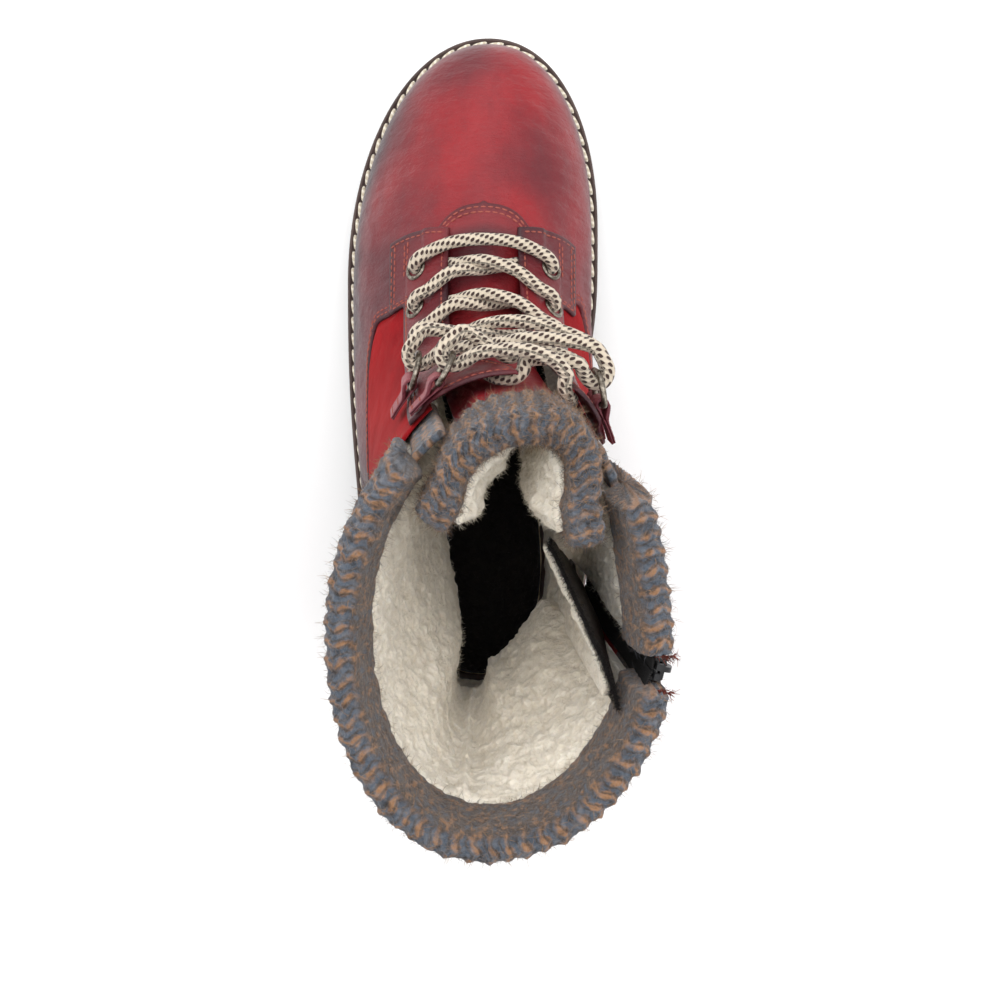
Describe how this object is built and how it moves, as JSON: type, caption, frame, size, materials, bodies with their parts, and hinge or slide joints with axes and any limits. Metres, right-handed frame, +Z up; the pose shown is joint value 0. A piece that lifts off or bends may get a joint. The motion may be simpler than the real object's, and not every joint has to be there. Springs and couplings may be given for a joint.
{
  "type": "lace-up winter ankle boot",
  "caption": "Left red leather winter ankle boot with stitched rubber sole, side zip, laced front with D-rings, fleece lining and knitted collar.",
  "frame": {"origin": "on the ground, under the middle of the flat heel block, on the plane the boot stands on", "axes": "+Y to the toe, +X to the medial side (the zip), +Z up"},
  "size_m": [0.1146, 0.2948, 0.2133],
  "materials": {
    "sole_rubber": "matt moulded rubber",
    "welt_rubber": "dark brown welt strip",
    "stitch_thread": "thick waxed cream thread",
    "burnished_leather": "red, dark hand-burnished edges, satin",
    "dark_leather": "red overlay leather, satin",
    "suede": "bright red napped suede",
    "strap_leather": "light red edge-cut strap",
    "stiffener": "resin-soaked board",
    "cork": "cork and felt filler",
    "steel": "spring steel",
    "fleece": "cream pile",
    "knit": "brown-grey mohair knit",
    "footbed_felt": "near-black felt cover",
    "gunmetal": "dark antique plate",
    "zip_tape": "black woven tape",
    "zip_plastic": "black moulded plastic",
    "lace_braid": "cream braid with black flecks",
    "guard_leather": "dark smooth leather"
  },
  "bodies": {
    "boot": {"aglet_1": "zip_plastic", "aglet_2": "zip_plastic", "backstay": "dark_leather", "eyelet_lateral_1": "gunmetal", "eyelet_lateral_2": "gunmetal", "eyelet_lateral_3": "gunmetal", "eyelet_medial_1": "gunmetal", "eyelet_medial_2": "gunmetal", "eyelet_medial_3": "gunmetal", "footbed": "footbed_felt", "heel_counter": "stiffener", "heel_quarter": "burnished_leather", "insole_board": "stiffener", "knit_collar_front": "knit", "knit_collar_rear": "knit", "lace": "lace_braid", "lining_foot": "fleece", "lining_shaft_front": "fleece", "lining_shaft_rear": "fleece", "outsole": "sole_rubber", "ring_strap_lateral_lower": "strap_leather", "ring_strap_lateral_upper": "strap_leather", "ring_strap_medial_lower": "strap_leather", "ring_strap_medial_upper": "strap_leather", "shank": "steel", "sole_filler": "cork", "stay_lateral": "burnished_leather", "stay_medial": "burnished_leather", "suede_lateral": "suede", "suede_medial_front": "suede", "suede_medial_rear": "suede", "throat_patch": "dark_leather", "toe_puff": "stiffener", "vamp": "burnished_leather", "welt": "welt_rubber", "welt_stitching": "stitch_thread", "zip_bottom_stop": "zip_plastic", "zip_guard": "guard_leather", "zip_tape_front": "zip_tape", "zip_tape_rear": "zip_tape", "zip_teeth_front": "zip_plastic", "zip_teeth_rear": "zip_plastic", "zip_top_stop_front": "zip_plastic", "zip_top_stop_rear": "zip_plastic"},
    "zip_slider": {"zip_slider": "zip_plastic"},
    "zip_puller": {"zip_puller": "zip_plastic"},
    "tongue": {"tongue_leather": "dark_leather", "tongue_knit": "knit", "tongue_lining": "fleece"},
    "d_ring_lateral_lower": {"d_ring_lateral_lower": "gunmetal"},
    "d_ring_lateral_upper": {"d_ring_lateral_upper": "gunmetal"},
    "d_ring_medial_lower": {"d_ring_medial_lower": "gunmetal"},
    "d_ring_medial_upper": {"d_ring_medial_upper": "gunmetal"}
  },
  "joints": [
    {"name": "zip_slide", "type": "slide", "parent": "boot", "child": "zip_slider", "axis": [0.0941, -0.1459, 0.9848], "range_m": [-0.101, 0]},
    {"name": "puller_hinge", "type": "hinge", "parent": "zip_slider", "child": "zip_puller", "pos_m": [0.05402, -0.00393, 0.19744], "axis": [-0.238, -0.9638, -0.12], "range_deg": [0, 100]},
    {"name": "d_ring_lateral_lower_hinge", "type": "hinge", "parent": "boot", "child": "d_ring_lateral_lower", "pos_m": [-0.02417, 0.08485, 0.13762], "axis": [0.0942, -0.4169, 0.9041], "range_deg": [-2.8, 2.8]},
    {"name": "d_ring_lateral_upper_hinge", "type": "hinge", "parent": "boot", "child": "d_ring_lateral_upper", "pos_m": [-0.01396, 0.08302, 0.16207], "axis": [0.0876, -0.2634, 0.9607], "range_deg": [-2.8, 2.8]},
    {"name": "d_ring_medial_lower_hinge", "type": "hinge", "parent": "boot", "child": "d_ring_medial_lower", "pos_m": [0.03834, 0.07914, 0.13379], "axis": [0.1338, -0.4111, 0.9017], "range_deg": [-2.8, 2.8]},
    {"name": "d_ring_medial_upper_hinge", "type": "hinge", "parent": "boot", "child": "d_ring_medial_upper", "pos_m": [0.03813, 0.07635, 0.15907], "axis": [0.1281, -0.2619, 0.9565], "range_deg": [-2.8, 2.8]},
    {"name": "tongue_hinge", "type": "hinge", "parent": "boot", "child": "tongue", "pos_m": [-0.00004, 0.15236, 0.08388], "axis": [1, 0, 0], "range_deg": [0, 8], "stiffness_Nm_per_rad": 0.4}
  ]
}
